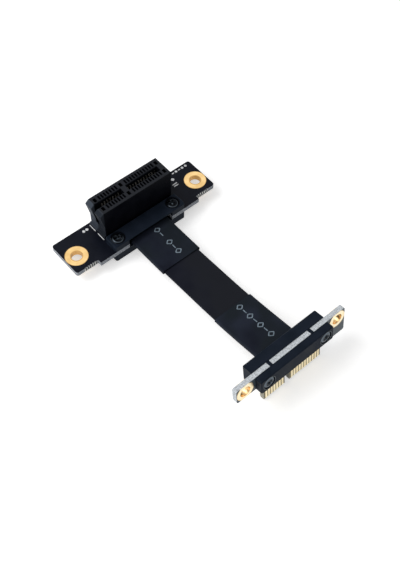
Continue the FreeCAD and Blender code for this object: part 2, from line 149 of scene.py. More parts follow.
def alongAxis(tree, place, origin, axis):
    # signed distance of a point from a plane: (point - origin) . axis
    shift = addNode(tree, "ShaderNodeVectorMath", operation="SUBTRACT")
    tree.links.new(place, shift.inputs[0])
    shift.inputs[1].default_value = tuple(origin)
    dot = addNode(tree, "ShaderNodeVectorMath", operation="DOT_PRODUCT")
    tree.links.new(shift.outputs[0], dot.inputs[0])
    dot.inputs[1].default_value = tuple(axis)
    return dot.outputs["Value"]


# moulded grain: two sizes of noise give a height for the bump and a slow drift for colour and gloss
grainLook = {"fine": {"Detail": 3.0, "Roughness": 0.6}, "slow": {"Detail": 2.0, "Roughness": 0.5},
             "range": (0.3, 0.7)}  # where the drift's tones start and end


def buildGrain(look):
    tree, take, give = newGroup(
        "mouldedGrain", {"Vector": "Vector", "Fine Scale": "Float", "Slow Scale": "Float"},
        {"Height": "Float", "Drift": "Float"})
    for size, scale, result in (("fine", "Fine Scale", "Height"), ("slow", "Slow Scale", "Drift")):
        noise = setInputs(addNode(tree, "ShaderNodeTexNoise"), **look[size])
        tree.links.new(take.outputs["Vector"], noise.inputs["Vector"])
        tree.links.new(take.outputs[scale], noise.inputs["Scale"])
        tree.links.new(noise.outputs[0], give.inputs[result])
    return tree


# cut edge of a board: between the two faces the glass fibres show as pale speckles and faint layers; the
# inset is in millimetres, the edge's sharpness and the layers are per millimetre
edgeLook = {"inset": 0.01, "sharp": 60.0, "speck": {"Scale": 2600.0, "Detail": 4.0, "Roughness": 0.75},
            "layers": 26.0, "layerShare": 0.05, "range": (0.36, 0.66)}


def buildCutEdge(look):
    # mask = how far a point lies inside the faces, sharpened; fibre = noise + a sine through the thickness
    tree, take, give = newGroup(
        "cutEdge", {"Vector": "Vector", "Depth": "Float", "Half Thickness": "Float"},
        {"Mask": "Float", "Fibre": "Float"})
    away = mathNode(tree, "ABSOLUTE", take.outputs["Depth"])
    margin = mathNode(tree, "SUBTRACT", take.outputs["Half Thickness"], away)
    inside = mathNode(tree, "SUBTRACT", margin, look["inset"] * mm)
    tree.links.new(sharpMask(tree, inside, look["sharp"] / mm), give.inputs["Mask"])
    speck = setInputs(addNode(tree, "ShaderNodeTexNoise"), **look["speck"])
    tree.links.new(take.outputs["Vector"], speck.inputs["Vector"])
    layers = mathNode(tree, "SINE", mathNode(tree, "MULTIPLY", take.outputs["Depth"], look["layers"] / mm))
    faint = mathNode(tree, "MULTIPLY", layers, look["layerShare"])
    tree.links.new(mathNode(tree, "ADD", speck.outputs[0], faint), give.inputs["Fibre"])
    return tree


grainGroup = buildGrain(grainLook)
cutEdgeGroup = buildCutEdge(edgeLook)


def newMaterial(name):
    material = bpy.data.materials.new(name)
    material.use_nodes = True
    tree = material.node_tree
    place = addNode(tree, "ShaderNodeTexCoord").outputs["Object"]
    return material, tree, tree.nodes["Principled BSDF"], place


def useGrain(tree, place, look):
    grain = addNode(tree, "ShaderNodeGroup", node_tree=grainGroup)
    tree.links.new(place, grain.inputs["Vector"])
    setInputs(grain, Fine_Scale=look["fine"], Slow_Scale=look["slow"])
    return grain.outputs["Height"], grain.outputs["Drift"]


def useBump(tree, shader, height, look):
    bump = setInputs(addNode(tree, "ShaderNodeBump"), Strength=look["bump"], Distance=look["depth"] * mm)
    tree.links.new(height, bump.inputs["Height"])
    tree.links.new(bump.outputs[0], shader.inputs["Normal"])


def useFinish(tree, shader, colour, height, drift, look):
    # the colour, a roughness that follows the slow drift, and the fine grain as a bump
    tree.links.new(colour, shader.inputs["Base Color"])
    gloss = spread(tree, drift, *grainLook["range"], *look["gloss"])
    tree.links.new(gloss, shader.inputs["Roughness"])
    useBump(tree, shader, height, look)


# moulded or filmed plastics, torn fibre and ink: colour drifts slowly, fine grain in the bump, whose depth
# is in millimetres; the slot's painted highlights have a point on a plane, the plane's axis and the painted
# tone beyond it
plastics = {
    "slotPlastic": {
        "dark": (0.0011, 0.0012, 0.0024), "pale": (0.0028, 0.003, 0.0048), "gloss": (0.45, 0.6),
        "fine": 7000.0, "slow": 260.0, "bump": 0.25, "depth": 0.02,
        "specular": 0.04, "tint": (0.7, 0.85, 1.0),
        # painted highlights: the top round the mouth and the open left end are paler where light falls on
        # them
        "rubbed": {"mouth": ((0, 0, 15.75), (0, 0, 1), (0.0235, 0.025, 0.03)),
                   "end": ((-12.05, 0, 0), (-1, 0, 0), (0.048, 0.0575, 0.074))},
        "rubSharp": 12.0, "rubGrain": 0.45, "frontWall": {"until": 7.2, "sharp": 2.0, "least": 0.35}},
    "coverPlastic": {
        "dark": (0.0055, 0.0085, 0.015), "pale": (0.0105, 0.0145, 0.0245), "gloss": (0.45, 0.6),
        "fine": 6000.0, "slow": 240.0, "bump": 0.3, "depth": 0.02,
        "specular": 0.07, "tint": (0.6, 0.82, 0.97)},
    "cableFilm": {
        "dark": (0.0055, 0.0062, 0.0115), "pale": (0.0125, 0.0138, 0.021), "gloss": (0.5, 0.62),
        "fine": 3000.0, "slow": 130.0, "bump": 0.12, "depth": 0.03,
        "specular": 0.06, "tint": (0.85, 0.92, 1.0), "hue": (0.0112, 0.0122, 0.0165), "hueScale": 95.0},
    "cableSleeve": {
        "dark": (0.0075, 0.009, 0.016), "pale": (0.0195, 0.024, 0.038), "gloss": (0.5, 0.64),
        "fine": 3400.0, "slow": 110.0, "bump": 0.15, "depth": 0.03,
        "specular": 0.06, "tint": (0.8, 0.9, 1.0), "hue": (0.0105, 0.0138, 0.0185), "hueScale": 120.0},
    # painted highlight: the pale edge of the card's screw seats
    "coverRim": {
        "dark": (0.06, 0.073, 0.083), "pale": (0.13, 0.152, 0.168), "gloss": (0.4, 0.55),
        "fine": 6000.0, "slow": 900.0, "bump": 0.2, "depth": 0.01, "specular": 0.2},
    "tornFibre": {
        "dark": (0.42, 0.43, 0.42), "pale": (0.9, 0.9, 0.87), "gloss": (0.7, 0.85),
        "fine": 4200.0, "slow": 2600.0, "bump": 0.5, "depth": 0.05, "specular": 0.15,
        "bitten": (0.02, 0.021, 0.024)},
    "boardInk": {
        "dark": (0.6, 0.61, 0.62), "pale": (0.85, 0.86, 0.87), "gloss": (0.5, 0.65),
        "fine": 5200.0, "slow": 1500.0, "bump": 0.2, "depth": 0.01, "specular": 0.2},
    "cableInk": {
        "dark": (0.125, 0.165, 0.205), "pale": (0.24, 0.295, 0.35), "gloss": (0.55, 0.7),
        "fine": 5200.0, "slow": 1800.0, "bump": 0.2, "depth": 0.01, "specular": 0.1},
}
hueLook = {"detail": 1.0, "range": (0.4, 0.62)}  # the second drift, of hue, on the cable
noTint = (1.0, 1.0, 1.0)

# the slot, in millimetres: its middle, its contacts' pitch, the tails' distance from the groove and the
# step between them, the slits with a narrow margin, and each tongue's middle with the contacts on it
slotLayout = {"x": 0.35, "y": 7.28, "pitch": 1.0, "near": 1.55, "step": 0.9,
              "slit": {"middle": 2.025, "halfLong": 0.825, "halfWide": 0.36, "sharp": 20.0},
              "tongues": ((-6.775, 7), (4.775, 11))}


def slitMask(tree, place, layout):
    # 1 over the slits: a stripe at every contact along each tongue, kept to the slits' row on either side
    slit = layout["slit"]
    x, y = [mathNode(tree, "MULTIPLY", value, 1 / mm) for value in splitPlace(tree, place)[:2]]
    across = distanceFrom(tree, distanceFrom(tree, y, layout["y"]), slit["middle"])
    inRow = sharpMask(tree, mathNode(tree, "SUBTRACT", slit["halfLong"], across), slit["sharp"])
    total = 0.0
    for middle, count in layout["tongues"]:
        far = distanceFrom(tree, x, layout["x"] + middle)
        nearest = mathNode(tree, "PINGPONG", far, layout["pitch"] / 2)  # distance from the nearest contact
        stripe = sharpMask(tree, mathNode(tree, "SUBTRACT", slit["halfWide"], nearest), slit["sharp"])
        onTongue = mathNode(tree, "SUBTRACT", count * layout["pitch"] / 2, far)
        stripe = mathNode(tree, "MULTIPLY", stripe, sharpMask(tree, onTongue, slit["sharp"]))
        total = mathNode(tree, "ADD", stripe, total)
    return mathNode(tree, "MULTIPLY", total, inRow, True)


def paintSlotSheen(tree, place, height, colour, look):
    # painted highlights: the slot's mouth and open end are painted paler where light falls on them, broken
    # up
    # by the grain: the mouth not over the slits, the end less on the front wall, which lies in shade
    wall = look["frontWall"]
    behind = alongAxis(tree, place, (0, wall["until"] * mm, 0), (0, 1, 0))
    behind = mathNode(tree, "ADD", sharpMask(tree, behind, wall["sharp"] / mm), wall["least"], True)
    limits = {"mouth": mathNode(tree, "SUBTRACT", 1.0, slitMask(tree, place, slotLayout)), "end": behind}
    grain = mathNode(tree, "ADD", height, look["rubGrain"])
    for part, (spot, axis, tone) in look["rubbed"].items():
        beyond = alongAxis(tree, place, np.array(spot) * mm, axis)
        reach = mathNode(tree, "MULTIPLY", sharpMask(tree, beyond, look["rubSharp"] / mm), limits[part])
        colour = mixColour(tree, mathNode(tree, "MULTIPLY", reach, grain, True), colour, tone)
    return colour


def plasticMaterial(name):
    look = plastics[name]
    material, tree, shader, place = newMaterial(name)
    height, drift = useGrain(tree, place, look)
    colour = ramp(tree, drift, grainLook["range"], (look["dark"], look["pale"]))
    if "hue" in look:  # a second, slower drift of hue
        hue = addNode(tree, "ShaderNodeTexNoise")
        setInputs(hue, Scale=look["hueScale"], Detail=hueLook["detail"])
        tree.links.new(place, hue.inputs["Vector"])
        colour = mixColour(tree, spread(tree, hue.outputs[0], *hueLook["range"]), colour, look["hue"])
    # painted highlights on the slot's top and open end
    if "rubbed" in look:
        colour = paintSlotSheen(tree, place, height, colour, look)
    if "bitten" in look:  # the piece's own field of bites, darker where the teeth are low
        bite = addNode(tree, "ShaderNodeAttribute", attribute_name="bite").outputs["Fac"]
        colour = mixColour(tree, bite, colour, look["bitten"])
    useFinish(tree, shader, colour, height, drift, look)
    setInputs(shader, Specular_IOR_Level=look["specular"], Specular_Tint=(*look.get("tint", noTint), 1.0))
    return material


# metals: two tones of plated gold, spring metal with painted shade, solder, blackened screws with painted
# highlights
metals = {
    "ringGold": {
        "dark": (0.84, 0.555, 0.225), "pale": (0.98, 0.7, 0.335), "gloss": (0.28, 0.42),
        "fine": 4200.0, "slow": 420.0, "bump": 0.12, "depth": 0.01, "bore": (0.62, 0.37, 0.135)},
    "fingerGold": {
        "dark": (0.9, 0.75, 0.46), "pale": (1.0, 0.91, 0.66), "gloss": (0.26, 0.4),
        "fine": 4200.0, "slow": 420.0, "bump": 0.12, "depth": 0.01, "bore": (0.7, 0.48, 0.24)},
    # painted shade: the contacts are greyer and darker than gold, as they sit deep in the groove
    "springGold": {
        "dark": (0.15, 0.144, 0.132), "pale": (0.29, 0.281, 0.262), "gloss": (0.34, 0.46),
        "fine": 5200.0, "slow": 500.0, "bump": 0.1, "depth": 0.01},
    "solderTin": {
        "dark": (0.5, 0.51, 0.53), "pale": (0.72, 0.73, 0.75), "gloss": (0.22, 0.45),
        "fine": 3800.0, "slow": 900.0, "bump": 0.2, "depth": 0.03},
    "blackScrew": {
        "dark": (0.004, 0.0045, 0.006), "pale": (0.011, 0.012, 0.015), "gloss": (0.3, 0.46),
        "fine": 6500.0, "slow": 700.0, "bump": 0.2, "depth": 0.02,
        # painted highlights: the pale tone of the screws' glints
        "rubbed": (0.23, 0.285, 0.34), "rubGrain": 1.3},
}

# the plated holes: a point on the right-hand one's axis, its direction, the radius out to which the bore's
# painted shade reaches and of the ring in millimetres; then how sharply the bore's painted shade ends, and
# the width, sharpness and share of the same darker tone at the ring's edge
plateHoles = {
    # on the socket rings the painted shade reaches past the hole onto the ring's face
    "ringGold": {"spot": np.array((22.8, 3.9, 0.0)) * mm, "axis": (0, 0, 1), "bore": 1.98, "ring": 3.5},
    "fingerGold": {"spot": onCard(*np.array((16.9, 0.0, 2.5))), "axis": cardOut, "bore": 1.75, "ring": 2.9},
}
boreLook = {"sharp": 30.0, "rimWide": 0.22, "rimSharp": 9.0, "rimShare": 0.6}


def boreShadeMask(tree, place, hole, look):
    # 1 inside the bore's painted shade and a share near the ring's outer edge, by the distance from either
    # hole's axis; |x| takes the left one to the right
    x, y, z = splitPlace(tree, place)
    folded = addNode(tree, "ShaderNodeCombineXYZ")
    for value, socket in zip((mathNode(tree, "ABSOLUTE", x), y, z), folded.inputs):
        tree.links.new(value, socket)
    sideways = alongAxis(tree, folded.outputs[0], hole["spot"], (1, 0, 0))
    upward = alongAxis(tree, folded.outputs[0], hole["spot"], np.cross(hole["axis"], (1, 0, 0)))
    squares = [mathNode(tree, "MULTIPLY", value, value) for value in (sideways, upward)]
    far = mathNode(tree, "SQRT", mathNode(tree, "ADD", *squares))
    inside = sharpMask(tree, mathNode(tree, "SUBTRACT", hole["bore"] * mm, far), look["sharp"] / mm)
    gap = distanceFrom(tree, far, hole["ring"] * mm)
    rim = sharpMask(tree, mathNode(tree, "SUBTRACT", look["rimWide"] * mm, gap), look["rimSharp"] / mm)
    return mathNode(tree, "MAXIMUM", inside, mathNode(tree, "MULTIPLY", rim, look["rimShare"]))


def metalMaterial(name):
    look = metals[name]
    material, tree, shader, place = newMaterial(name)
    height, drift = useGrain(tree, place, look)
    colour = ramp(tree, drift, grainLook["range"], (look["dark"], look["pale"]))
    if "bore" in look:  # painted shade: darker, redder inside the holes
        colour = mixColour(tree, boreShadeMask(tree, place, plateHoles[name], boreLook), colour, look["bore"])
    if "rubbed" in look:  # the piece's own field of painted highlights, broken up by the fine grain
        wear = addNode(tree, "ShaderNodeAttribute", attribute_name="wear").outputs["Fac"]
        grain = mathNode(tree, "MULTIPLY", height, look["rubGrain"])
        colour = mixColour(tree, mathNode(tree, "MULTIPLY", wear, grain, True), colour, look["rubbed"])
    useFinish(tree, shader, colour, height, drift, look)
    setInputs(shader, Metallic=1.0)
    return material


# boards: dark mask on the faces, pale fibre on the cut edges, bare laminate between the card's fingers,
# from so many millimetres below the top and so far either side of the middle
boards = {
    # painted shade: the socket board's cut edges are darker than the card's
    "socketBoard": {
        "mask": ((0.0032, 0.0042, 0.0085), (0.006, 0.0075, 0.0135)),
        "fibre": ((0.13, 0.14, 0.16), (0.5, 0.53, 0.58)), "specular": 0.08,
        "middle": (0.0, 0.0, (boardPlace["under"] + boardPlace["thick"] / 2) * mm), "out": (0, 0, 1)},
    # painted light: the card board's mask and cut edges are paler than the socket board's
    "cardBoard": {
        "mask": ((0.038, 0.055, 0.069), (0.068, 0.094, 0.114)),
        "fibre": ((0.33, 0.35, 0.37), (0.83, 0.88, 0.93)), "specular": 0.27,
        "middle": cardTop - cardOut * boardPlace["thick"] / 2 * mm, "out": cardOut,
        "bare": {"tone": (0.2, 0.16, 0.07), "edge": (0.3, 0.27, 0.19), "edgeShare": 0.8,
                 "start": 5.5, "half": 10.65, "sharp": 20.0}},
}
boardGrain = {"fine": 2400.0, "slow": 300.0, "bump": 0.1, "depth": 0.02,
              "maskGloss": 0.34, "edgeGloss": 0.75}


def tongueMask(tree, place, bare):
    # 1 on the tongues: below the line where the mask ends, times between the two ends of the card's edge
    below = mathNode(tree, "SUBTRACT", alongAxis(tree, place, cardTop, cardDown), bare["start"] * mm)
    aside = mathNode(tree, "ABSOLUTE", splitPlace(tree, place)[0])
    between = mathNode(tree, "SUBTRACT", bare["half"] * mm, aside)
    masks = [sharpMask(tree, beyond, bare["sharp"] / mm) for beyond in (below, between)]
    return mathNode(tree, "MULTIPLY", *masks)


def boardMaterial(name):
    look = boards[name]
    material, tree, shader, place = newMaterial(name)
    height, drift = useGrain(tree, place, boardGrain)
    face = ramp(tree, drift, grainLook["range"], look["mask"])
    edge = addNode(tree, "ShaderNodeGroup", node_tree=cutEdgeGroup)
    setInputs(edge, Half_Thickness=boardPlace["thick"] / 2 * mm)
    tree.links.new(place, edge.inputs["Vector"])
    tree.links.new(alongAxis(tree, place, look["middle"], look["out"]), edge.inputs["Depth"])
    fibre = ramp(tree, edge.outputs["Fibre"], edgeLook["range"], look["fibre"])
    if "bare" in look:  # no mask on the tongues, whose own edges are browner
        bare = look["bare"]
        bareMask = tongueMask(tree, place, bare)
        face = mixColour(tree, bareMask, face, bare["tone"])
        edgeMask = mathNode(tree, "MULTIPLY", bareMask, bare["edgeShare"])
        fibre = mixColour(tree, edgeMask, fibre, bare["edge"])
    tree.links.new(mixColour(tree, edge.outputs["Mask"], face, fibre), shader.inputs["Base Color"])
    gloss = spread(tree, edge.outputs["Mask"], 0.0, 1.0, boardGrain["maskGloss"], boardGrain["edgeGloss"])
    tree.links.new(gloss, shader.inputs["Roughness"])
    useBump(tree, shader, height, boardGrain)
    setInputs(shader, Specular_IOR_Level=look["specular"])
    return material


finishes = {name: plasticMaterial(name) for name in plastics}
finishes |= {name: metalMaterial(name) for name in metals}
finishes |= {name: boardMaterial(name) for name in boards}
slotFinish = {"contact_gold": "springGold", "slot_plastic": "slotPlastic", "solder": "solderTin",
              "cover_plastic": "coverPlastic", "black_screw": "blackScrew", "cable_film": "cableFilm",
              "cable_sleeve": "cableSleeve"}
endFinish = {"socket": {"gold": "ringGold", "board": "socketBoard"},
             "card": {"gold": "fingerGold", "board": "cardBoard"}}
for row in frame["record"]["subparts"]:
    name, slot = row["node"], row["material_slot"]
    key = slotFinish.get(slot) or endFinish[endOf(name)][slot]
    nodes[name].data.materials.clear()
    nodes[name].data.materials.append(finishes[key])
print("finishes on every node:", len(finishes))


# mesh helpers: faces are blocks, each an array with one row of corners for every face
def gridFaces(rows, cols, looped=False):
    # quads between neighbouring rows and columns of a grid whose last column joins the first; looped joins
    # the last row to the first as well
    row, col = np.meshgrid(np.arange(rows if looped else rows - 1), np.arange(cols), indexing="ij")
    below, after = (row + 1) % rows, (col + 1) % cols
    quads = [row * cols + col, below * cols + col, below * cols + after, row * cols + after]
    return np.stack(quads, -1).reshape(-1, 4)


def capFaces(rows, cols):
    # one flat face over each end of a closed sweep
    return np.array([[0], [(rows - 1) * cols]]) + np.arange(cols)


def fanFaces(tip, ring):
    # triangles from one tip to every step round a closed ring
    return np.stack([np.full_like(ring, tip), ring, np.roll(ring, -1)], 1)


def addPiece(name, points, blocks, slot, finish, **fields):
    # one smooth mesh with its faces outwards; fields are values at the points that its material reads
    mesh = bpy.data.meshes.new(name)
    mesh.from_pydata(points.tolist(), [], [face for block in blocks for face in block.tolist()])
    work = bmesh.new()
    work.from_mesh(mesh)
    bmesh.ops.recalc_face_normals(work, faces=work.faces)
    work.to_mesh(mesh)
    work.free()
    mesh.polygons.foreach_set("use_smooth", np.ones(len(mesh.polygons), bool))
    for label, values in fields.items():
        mesh.attributes.new(label, "FLOAT", "POINT").data.foreach_set("value", values.astype(np.float32))
    mesh.materials.append(finishes[finish])
    piece = bpy.data.objects.new(name, mesh)
    scene.collection.objects.link(piece)
    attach(piece, "root")
    return piece


def pieceLabel(name):
    # socket_screw_left gives SocketScrewLeft
    return "".join(word.capitalize() for word in name.split("_"))


def softStep(value):
    # 0 below 0, 1 above 1, and three squares less two cubes between
    t = np.clip(value, 0.0, 1.0)
    return t * t * (3.0 - 2.0 * t)


# screws: black pan heads with a cross recess, sunk level with the covers, in millimetres; places of the
# painted highlights are shares of the head's radius, and only the card's heads get a painted reflection on
# the face round the cross
screwLook = {"head": 1.9, "high": 1.1, "crown": 0.4, "crownPower": 6, "sideMiddle": 0.7, "ease": 0.06,
             "arm": 1.15, "armHalf": 0.27, "wall": 0.16, "recess": 0.6, "recessRise": 0.7,
             "shank": 0.92, "length": 4.8, "ridge": 0.07, "pitch": 0.5, "ridgeFrom": 0.05, "ridgeEnd": 0.4,
             "tipShare": 0.5, "tipLong": 0.12, "rings": 44, "turns": 120, "steps": 48,
             "wear": {"rim": 0.3, "rimPlace": 0.84, "rimWide": 0.07, "walls": 2.4, "middleWide": 0.14,
                      "face": {"socket": 0.0, "card": 0.45}, "facePlace": 0.52, "faceWide": 0.12}}
screwPlaces = {  # middle of the head's top, turn of the cross in degrees
    "socket_screw_left": {"spot": (-10.4, 0.0, 7.0), "turn": 24.0},
    "socket_screw_right": {"spot": (10.4, 0.0, 7.0), "turn": -14.0},
    "card_screw_left": {"spot": (-10.4, 2.3, 2.75), "turn": 38.0},
    "card_screw_right": {"spot": (10.4, 2.3, 2.75), "turn": 8.0},
}


def crossArm(look, along, across):
    # one arm of the cross: a soft step at its two walls times one at its two ends
    walls = softStep((look["armHalf"] - abs(across)) / look["wall"] + 0.5)
    return walls * softStep((look["arm"] - abs(along)) / look["wall"])


def headHighlights(wear, end, share, cross):
    # painted highlights: a bell near the rim, the slopes of the cross, a glint as a bell in the middle, and
    # a painted reflection as a soft step to the outer face
    rim = wear["rim"] * np.exp(-((share - wear["rimPlace"]) / wear["rimWide"]) ** 2)
    walls = wear["walls"] * cross * (1.0 - cross)
    middle = np.exp(-(share / wear["middleWide"]) ** 2)
    face = wear["face"][end] * softStep((share - wear["facePlace"]) / wear["faceWide"])
    return np.clip(rim + walls + middle + face, 0.0, 1.0)


def screwShape(look, angle, end):
    # polar grid about the screw's axis: the crown drops with a power of the radius, less a cross that is
    # deepest in the middle; then the side, the seat, and a shank with one ridge that winds to a blunt tip
    turn = np.linspace(0, 2 * np.pi, look["turns"], endpoint=False)
    share = np.linspace(1.0 / look["rings"], 1.0, look["rings"])[:, None]
    x, y = look["head"] * share * np.cos(turn), look["head"] * share * np.sin(turn)
    p, q = x * np.cos(angle) + y * np.sin(angle), y * np.cos(angle) - x * np.sin(angle)
    cross = np.maximum(crossArm(look, p, q), crossArm(look, q, p))
    recess = look["recess"] * cross * (1.0 - look["recessRise"] * share ** 2)
    top = -look["crown"] * share ** look["crownPower"] - recess

    seat, tip = -look["high"], -look["high"] - look["length"]
    side = np.array([(look["head"], -look["sideMiddle"]), (look["head"], seat + look["ease"]),
                     (look["head"] - look["ease"], seat), (look["shank"], seat)])
    drop = np.linspace(look["ridgeFrom"], look["length"] - look["ridgeEnd"], look["steps"])
    wind = look["shank"] + look["ridge"] * np.cos(2 * np.pi * drop[:, None] / look["pitch"] - turn)
    around = np.ones((1, look["turns"]))
    radius = np.concatenate([side[:, :1] * around, wind, look["tipShare"] * look["shank"] * around])
    level = np.concatenate([side[:, 1], seat - drop, [tip + look["tipLong"]]])[:, None] * around
    lower = np.stack([radius * np.cos(turn), radius * np.sin(turn), level], -1)

    grid = np.concatenate([np.stack([x, y, top], -1), lower])
    rows, cols = grid.shape[:2]
    points = np.concatenate([grid.reshape(-1, 3), [(0.0, 0.0, -look["recess"]), (0.0, 0.0, tip)]])
    ring = np.arange(cols)
    fans = [fanFaces(rows * cols, ring), fanFaces(rows * cols + 1, (rows - 1) * cols + ring)]
    wear = np.zeros(len(points))
    wear[:top.size] = headHighlights(look["wear"], end, share, cross).ravel()
    return points, [gridFaces(rows, cols), *fans], wear


def onSeat(name, points):
    # a shape about +z moved to a screw's seat; on the card, z looks out of its front face and y up it
    spot = screwPlaces[name]["spot"]
    if endOf(name) == "card":
        return onCard(spot[0] + points[:, 0], spot[1] + points[:, 2], spot[2] - points[:, 1])
    return (points + spot) * mm


for name, place in screwPlaces.items():
    points, blocks, wear = screwShape(screwLook, np.radians(place["turn"]), endOf(name))
    label = "crossHead" + pieceLabel(name)
    piece = addPiece(label, onSeat(name, points), blocks, "black_screw", "blackScrew", wear=wear)
    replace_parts(piece, name)
print("screws:", len(screwPlaces))

# solder joints under the slot: one concave fillet round each tail, in millimetres
solderLook = {"foot": 0.6, "tip": 0.27, "high": 0.9, "curve": 2.2, "sunk": 0.02, "smallest": 0.92,
              "lump": 0.05, "lobes": 3, "spin": 6.3, "rows": 9, "turns": 16, "seed": 7}


def tailSpots(layout):
    # contacts one pitch apart on each tongue; on both sides, tails in turn far from the groove and near it
    steps = [middle + (np.arange(n) - (n - 1) / 2) * layout["pitch"] for middle, n in layout["tongues"]]
    along = np.concatenate(steps)
    reach = layout["near"] + layout["step"] * (1 - np.arange(len(along)) % 2)
    return layout["x"] + np.concatenate([along, along]), layout["y"] + np.concatenate([-reach, reach])


def solderShape(look, spotX, spotY):
    # about each tail, the radius falls from foot to tip with a power of what is left of the height, and
    # soft lobes round the foot fade out with it
    rng = np.random.default_rng(look["seed"])
    size = rng.uniform(look["smallest"], 1.0, len(spotX))[:, None, None]
    spin = rng.uniform(0, look["spin"], len(spotX))[:, None, None]
    share = np.linspace(0.0, 1.0, look["rows"])[None, :, None]
    turn = np.linspace(0, 2 * np.pi, look["turns"], endpoint=False)[None, None, :]
    lump = 1.0 + look["lump"] * np.sin(look["lobes"] * turn + spin) * (1 - share)
    radius = (look["tip"] + (look["foot"] - look["tip"]) * (1 - share) ** look["curve"]) * lump * size
    x = spotX[:, None, None] + radius * np.cos(turn)
    y = spotY[:, None, None] + radius * np.sin(turn)
    z = boardPlace["under"] + look["sunk"] - (look["high"] * size + look["sunk"]) * share + 0 * turn
    points = np.stack([x, y, z], -1).reshape(-1, 3) * mm
    shift = np.arange(len(spotX))[:, None, None] * look["rows"] * look["turns"]
    one = [gridFaces(look["rows"], look["turns"]), capFaces(look["rows"], look["turns"])]
    return points, [(block + shift).reshape(-1, block.shape[1]) for block in one]


tails = tailSpots(slotLayout)
points, blocks = solderShape(solderLook, *tails)
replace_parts(addPiece("solderFillets", points, blocks, "solder", "solderTin"), "slot_solder_joints")
print("solder fillets:", len(tails[0]))

# broken tabs: torn fibre left between the bites on the front edges of the socket board, in millimetres
tabLook = {"from": 19.15, "to": 23.85, "edge": -1.25, "inset": 0.04, "rooted": 0.02, "buried": 0.06,
           "reach": 0.5, "endPower": 0.3, "facePower": 0.5, "teeth": 6.5, "steep": 0.9, "lean": 0.9,
           "ragged": 0.8, "stub": 0.15, "lowest": 0.4, "smooth": (0.5, 0.25), "rows": 150, "cols": 14,
           "seed": 11}


def tornEdge(look, side):
    # closed sweep along the edge: reach = bell along and across x a row of teeth, soft steps of a sine that
    # lean a little with the height, x smoothed random heights; the bites are what the teeth leave
    rng = np.random.default_rng(look["seed"] + side)
    rough = rng.random((look["rows"], look["cols"]))
    own, beside = look["smooth"]
    rough = own * rough + beside * (np.roll(rough, 1, 0) + np.roll(rough, 1, 1))
    along = np.linspace(0.0, 1.0, look["rows"])[:, None]
    across = np.linspace(0.0, 1.0, look["cols"])[None, :]
    bell = np.sin(np.pi * along) ** look["endPower"] * np.sin(np.pi * across) ** look["facePower"]
    x = side * (look["from"] + (look["to"] - look["from"]) * along) + 0 * across
    z = boardPlace["under"] + look["inset"] + (boardPlace["thick"] - 2 * look["inset"]) * across + 0 * along
    wave = np.sin(2 * np.pi * look["teeth"] * along + look["lean"] * across + look["ragged"] * rough)
    tooth = softStep(0.5 + look["steep"] * wave)
    reach = look["reach"] * bell * (look["stub"] + (1 - look["stub"]) * tooth)
    reach = reach * (look["lowest"] + (1 - look["lowest"]) * rough)
    front = np.stack([x, look["edge"] + look["rooted"] - reach, z], -1)
    back = np.stack([x, np.full_like(x, look["edge"] + look["buried"]), z], -1)[:, ::-1]
    sweep = np.concatenate([front, back[:, ::look["cols"] - 1]], 1)
    rows, cols = sweep.shape[:2]
    bite = np.concatenate([1.0 - tooth, np.zeros((rows, cols - look["cols"]))], 1)
    return sweep.reshape(-1, 3) * mm, [gridFaces(rows, cols), capFaces(rows, cols)], bite.ravel()


tabSides = {"Left": -1, "Right": 1}
for label, side in tabSides.items():
    points, blocks, bite = tornEdge(tabLook, side)
    addPiece("tornTab" + label, points, blocks, "board", "tornFibre", bite=bite)
print("torn tabs:", len(tabSides))

# strokes of printed marks and rims: the power of each kind of loop, steps along a loop, along a dash and
# round the section, and the section's depth below the surface as a share of its height
strokeLook = {"powers": {"diamond": 1.15, "ring": 2.0}, "loopSteps": 48, "dashSteps": 12, "sectionSteps": 8,
              "sunk": 0.5}


def strokePath(look, kind, wide, tall):
    # closed loop |x|^power + |y|^power = 1 or a straight dash, stretched to its size
    closed = kind in look["powers"]
    if closed:
        turn = np.linspace(0, 2 * np.pi, look["loopSteps"], endpoint=False)
        circle = np.stack([np.cos(turn), np.sin(turn)], 1)
        path = np.sign(circle) * abs(circle) ** (2 / look["powers"][kind])
    else:
        line = np.linspace(-1.0, 1.0, look["dashSteps"])
        path = np.stack([line, np.zeros_like(line)], 1)
    return path * (wide / 2, tall / 2), closed


def strokeShape(look, path, closed, width, height):
    # lens-shaped section across the path's normal: a half sine above the surface, a shallower one below it
    step = np.roll(path, -1, 0) - np.roll(path, 1, 0) if closed else np.gradient(path, axis=0)
    step = step / np.linalg.norm(step, axis=1, keepdims=True)
    normal = np.stack([-step[:, 1], step[:, 0]], 1)
    turn = np.linspace(0, 2 * np.pi, look["sectionSteps"], endpoint=False)
    flat = path[:, None, :] + normal[:, None, :] * (width / 2 * np.cos(turn))[None, :, None]
    rise = height * np.where(np.sin(turn) > 0, np.sin(turn), look["sunk"] * np.sin(turn))
    grid = np.concatenate([flat, np.broadcast_to(rise[None, :, None], (*flat.shape[:2], 1))], -1)
    rows, cols = grid.shape[:2]
    ends = [] if closed else [capFaces(rows, cols)]
    return grid.reshape(-1, 3), [gridFaces(rows, cols, closed), *ends]


def printRow(marks, height):
    # strokes of all the marks (kind, x, y, wide, tall, turn in degrees, stroke) joined into one mesh
    allPoints, allBlocks, count = [], [], 0
    for kind, x, y, wide, tall, angle, width in marks:
        points, blocks = strokeShape(strokeLook, *strokePath(strokeLook, kind, wide, tall), width, height)
        c, s = np.cos(np.radians(angle)), np.sin(np.radians(angle))
        turned = points @ np.array(((c, s, 0.0), (-s, c, 0.0), (0.0, 0.0, 1.0)))
        allPoints.append(turned + (x, y, 0.0))
        allBlocks += [block + count for block in blocks]
        count += len(points)
    return np.concatenate(allPoints), allBlocks


